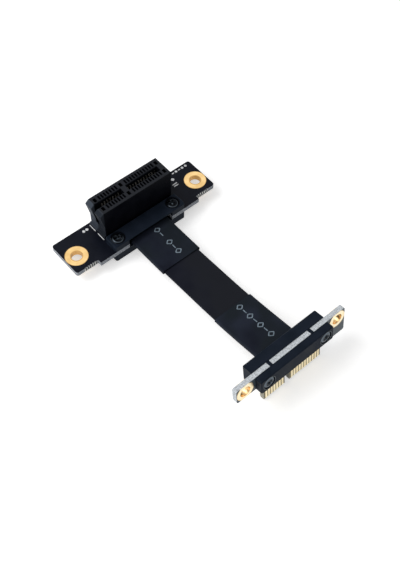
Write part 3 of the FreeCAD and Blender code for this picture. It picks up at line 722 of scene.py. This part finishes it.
# printed marks on the socket board, in millimetres
boardPrint = {"height": 0.025, "marks": (
    ("dash", -13.05, 9.15, 3.0, 0, 90, 0.26), ("dash", -13.05, 5.0, 3.1, 0, 90, 0.26),
    ("diamond", -14.7, 9.8, 0.6, 0.6, 0, 0.44), ("diamond", -15.85, 9.8, 0.6, 0.6, 0, 0.44),
    ("diamond", 17.5, 8.5, 0.7, 0.7, 0, 0.5), ("dash", 16.9, 6.75, 1.7, 0, 0, 0.4),
    ("dash", 16.9, 6.0, 1.7, 0, 0, 0.4), ("dash", 19.2, 10.4, 0.8, 0, 0, 0.36),
    ("diamond", 20.45, 10.4, 0.55, 0.55, 0, 0.4), ("dash", 21.7, 10.4, 0.8, 0, 0, 0.36),
    ("diamond", 22.95, 10.4, 0.55, 0.55, 0, 0.4), ("diamond", 24.3, 10.4, 0.55, 0.55, 0, 0.4))}
points, blocks = printRow(boardPrint["marks"], boardPrint["height"])
points[:, 2] += boardPlace["under"] + boardPlace["thick"]
addPiece("boardPrint", points * mm, blocks, "board", "boardInk")
print("board print:", len(boardPrint["marks"]), "marks")

# printed marks on the cable's jackets, in millimetres: the line they stand on and their places along it
cablePrint = {"height": 0.03, "diamond": (1.9, 1.6, 0, 0.34), "dash": (1.5, 0, 90, 0.34),
              "lookFrom": 50.0, "lookSteps": 80, "lookPast": 1.2, "rows": {
    "cable_sleeve_socket_end": ("Socket", 1.4, (
        (-3.7, "diamond"), (-5.8, "dash"), (-9.5, "diamond"), (-11.6, "dash"), (-13.7, "diamond"))),
    "cable_sleeve_card_end": ("Card", 1.25, (
        (-40.6, "diamond"), (-42.7, "dash"), (-44.8, "diamond"), (-46.9, "dash"), (-49.0, "diamond"),
        (-51.1, "dash"), (-53.2, "diamond")))}}


def cableTop(look, node, x, first, last):
    # height of a jacket's upper face along one line, found by looking straight down at even steps
    places = np.linspace(first + look["lookPast"], last - look["lookPast"], look["lookSteps"])
    hits = [node.ray_cast((x * mm, y * mm, look["lookFrom"] * mm), (0, 0, -1)) for y in places]
    return places, np.array([hit[1].z / mm for hit in hits])


for name, (label, x, row) in cablePrint["rows"].items():
    marks = [(kind, x, y, *cablePrint[kind]) for y, kind in row]
    points, blocks = printRow(marks, cablePrint["height"])
    places, heights = cableTop(cablePrint, nodes[name], x, row[0][0], row[-1][0])
    points[:, 2] += np.interp(points[:, 1], places[::-1], heights[::-1])
    addPiece("cablePrint" + label, points * mm, blocks, "cable_sleeve", "cableInk")
print("cable print:", len(cablePrint["rows"]), "rows")

# rims round each screw's seat in its cover, in millimetres: a painted highlight on the card's seats and a
# painted shadow round the socket's heads
paintedSeatRims = {"across": 4.2, "height": 0.03, "stroke": {"card": 0.2, "socket": 0.4},
           "finish": {"card": "coverRim", "socket": "slotPlastic"}}
for name in screwPlaces:
    end = endOf(name)
    path, closed = strokePath(strokeLook, "ring", paintedSeatRims["across"], paintedSeatRims["across"])
    points, blocks = strokeShape(strokeLook, path, closed, paintedSeatRims["stroke"][end], paintedSeatRims["height"])
    label = "rim" + pieceLabel(name.replace("screw", "seat"))
    addPiece(label, onSeat(name, points), blocks, "cover_plastic", paintedSeatRims["finish"][end])
print("seat rims:", len(screwPlaces))

# studio: pale floor and soft lamps, in metres; camera at the photograph's angle, its eye in millimetres and
# its azimuth, elevation and roll in degrees
studio = {"floor": 3.0, "floorDrop": 0.00002, "floorTone": 0.85, "floorGlow": (0.48, 0.76),
          "glowReach": (0.1, 0.7), "world": 0.31, "lampTarget": (0.0, -0.027, 0.006),
          "eye": (-90.065, -123.46, 202.444), "angles": (-42.49, 56.514, 2.179),
          "lens": 52.1678, "sensor": 36.0, "clip": (0.01, 20.0)}
half = studio["floor"] / 2
floorMesh = bpy.data.meshes.new("floor")
corners = [(-half, -half, 0), (half, -half, 0), (half, half, 0), (-half, half, 0)]
floorMesh.from_pydata(corners, [], [(0, 1, 2, 3)])
floor = bpy.data.objects.new("floor", floorMesh)
scene.collection.objects.link(floor)
floor.location.z = -studio["floorDrop"]


def seenRays(tree):
    # 1 for the rays that show a surface: straight to the camera, or by way of something glossy or clear
    path = tree.nodes.new("ShaderNodeLightPath")
    seen = path.outputs["Is Camera Ray"]
    for kind in ("Is Glossy Ray", "Is Transmission Ray"):
        seen = mathNode(tree, "MAXIMUM", seen, path.outputs[kind])
    return seen


def paleFloor():
    # matt pale floor that holds the shadow; it glows a little for the rays that show it, more where the
    # lamps don't reach, and from below it is clear
    material = bpy.data.materials.new("paleFloor")
    material.use_nodes = True
    tree = material.node_tree
    tree.nodes.clear()
    out = tree.nodes.new("ShaderNodeOutputMaterial")
    matt = tree.nodes.new("ShaderNodeBsdfDiffuse")
    tone = studio["floorTone"]
    matt.inputs["Color"].default_value = (tone, tone, tone, 1.0)
    away = addNode(tree, "ShaderNodeVectorMath", operation="LENGTH")
    tree.links.new(addNode(tree, "ShaderNodeTexCoord").outputs["Object"], away.inputs[0])
    rise = spread(tree, away.outputs["Value"], *studio["glowReach"], *studio["floorGlow"])
    glow = tree.nodes.new("ShaderNodeEmission")
    tree.links.new(mathNode(tree, "MULTIPLY", seenRays(tree), rise), glow.inputs["Strength"])
    add = tree.nodes.new("ShaderNodeAddShader")
    tree.links.new(matt.outputs[0], add.inputs[0])
    tree.links.new(glow.outputs[0], add.inputs[1])
    mix = tree.nodes.new("ShaderNodeMixShader")
    tree.links.new(tree.nodes.new("ShaderNodeNewGeometry").outputs["Backfacing"], mix.inputs[0])
    tree.links.new(add.outputs[0], mix.inputs[1])
    tree.links.new(tree.nodes.new("ShaderNodeBsdfTransparent").outputs[0], mix.inputs[2])
    tree.links.new(mix.outputs[0], out.inputs["Surface"])
    return material


floorMesh.materials.append(paleFloor())

world = bpy.data.worlds.new("studioAir")
scene.world = world
world.use_nodes = True
worldTree = world.node_tree
air = worldTree.nodes["Background"]
air.inputs["Color"].default_value = (1.0, 1.0, 1.0, 1.0)
strength = spread(worldTree, seenRays(worldTree), 0.0, 1.0, studio["world"], 1.0)
worldTree.links.new(strength, air.inputs["Strength"])

lamps = {  # place in metres, width, power in watts
    "keyLamp": ((-0.5, 0.0, 0.25), 0.35, 1.1),
    "topLamp": ((-0.28, 0.27, 0.5), 0.4, 2.1),
    "frontLamp": ((0.1, -0.5, 0.3), 0.4, 0.28),
}
lampTarget = Vector(studio["lampTarget"])
for name, (spot, width, power) in lamps.items():
    lamp = bpy.data.lights.new(name, "AREA")
    lamp.size = width
    lamp.energy = power
    body = bpy.data.objects.new(name, lamp)
    scene.collection.objects.link(body)
    body.location = spot
    body.rotation_euler = (lampTarget - Vector(spot)).to_track_quat("-Z", "Y").to_euler()


def cameraMatrix(eye, angles):
    # right lies level at the azimuth, up leans back by the elevation, and both are rolled about back
    azimuth, elevation, roll = np.radians(angles)
    right = np.array((np.cos(azimuth), np.sin(azimuth), 0.0))
    inwards = np.array((-np.sin(azimuth), np.cos(azimuth), 0.0))
    up = inwards * np.sin(elevation) + np.array((0.0, 0.0, np.cos(elevation)))
    matrix = np.eye(4)
    matrix[:3, 0] = right * np.cos(roll) + up * np.sin(roll)
    matrix[:3, 1] = up * np.cos(roll) - right * np.sin(roll)
    matrix[:3, 2] = np.cross(right, up)
    matrix[:3, 3] = np.array(eye) * mm
    return Matrix(matrix.tolist())


camera = bpy.data.cameras.new("camera")
camera.lens = studio["lens"]
camera.sensor_width = studio["sensor"]
camera.clip_start, camera.clip_end = studio["clip"]
cameraBody = bpy.data.objects.new("camera", camera)
scene.collection.objects.link(cameraBody)
cameraBody.matrix_world = cameraMatrix(studio["eye"], studio["angles"])
scene.camera = cameraBody
scene.view_settings.view_transform = "Standard"
print("studio ready")
